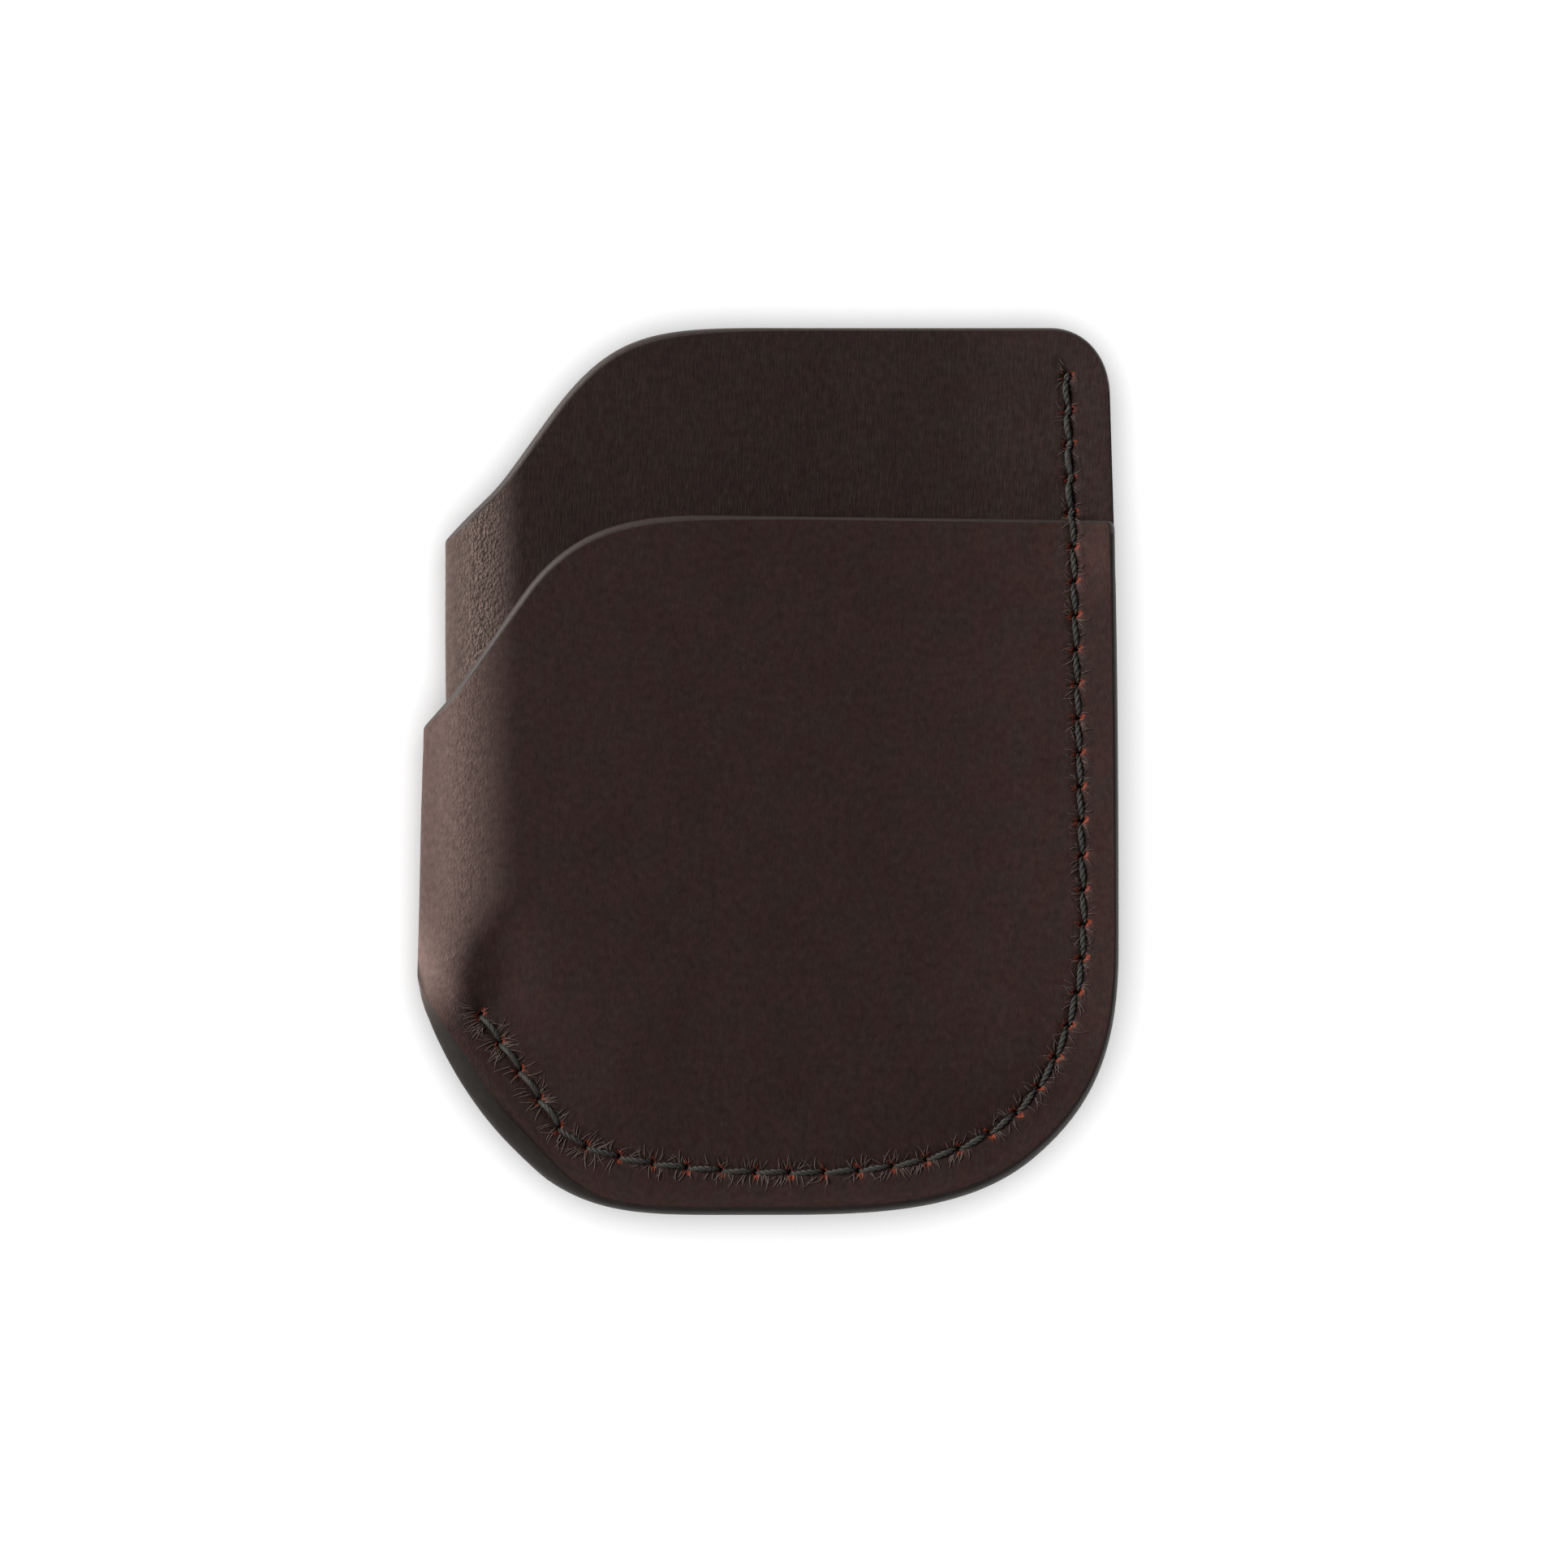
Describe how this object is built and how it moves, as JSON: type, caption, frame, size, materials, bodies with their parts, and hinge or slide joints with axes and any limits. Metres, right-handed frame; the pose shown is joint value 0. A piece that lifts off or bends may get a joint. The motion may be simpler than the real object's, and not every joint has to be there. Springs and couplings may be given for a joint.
{
  "type": "minimalist card wallet",
  "caption": "Slim dark brown leather card sleeve made of nested folded wraps, open at the top with a sloping thumb edge, and sewn down the side and round the bottom.",
  "frame": {"origin": "middle of the sleeve's outline, on the plane its back panel rests on", "axes": "+X from the fold towards the sewn side, +Y towards the open mouth, +Z out of the front face"},
  "size_m": [0.0712, 0.09, 0.0084],
  "materials": {
    "outer_leather": "smooth dark brown vegetable tanned grain, satin",
    "inner_leather": "darker brown grain with fine upright fibre marks, satin",
    "thread": "dark grey twisted waxed thread"
  },
  "bodies": {
    "root": {"outer_wrap": "outer_leather", "inner_wrap": "inner_leather", "needle_thread": "thread", "bobbin_thread": "thread"}
  },
  "joints": []
}
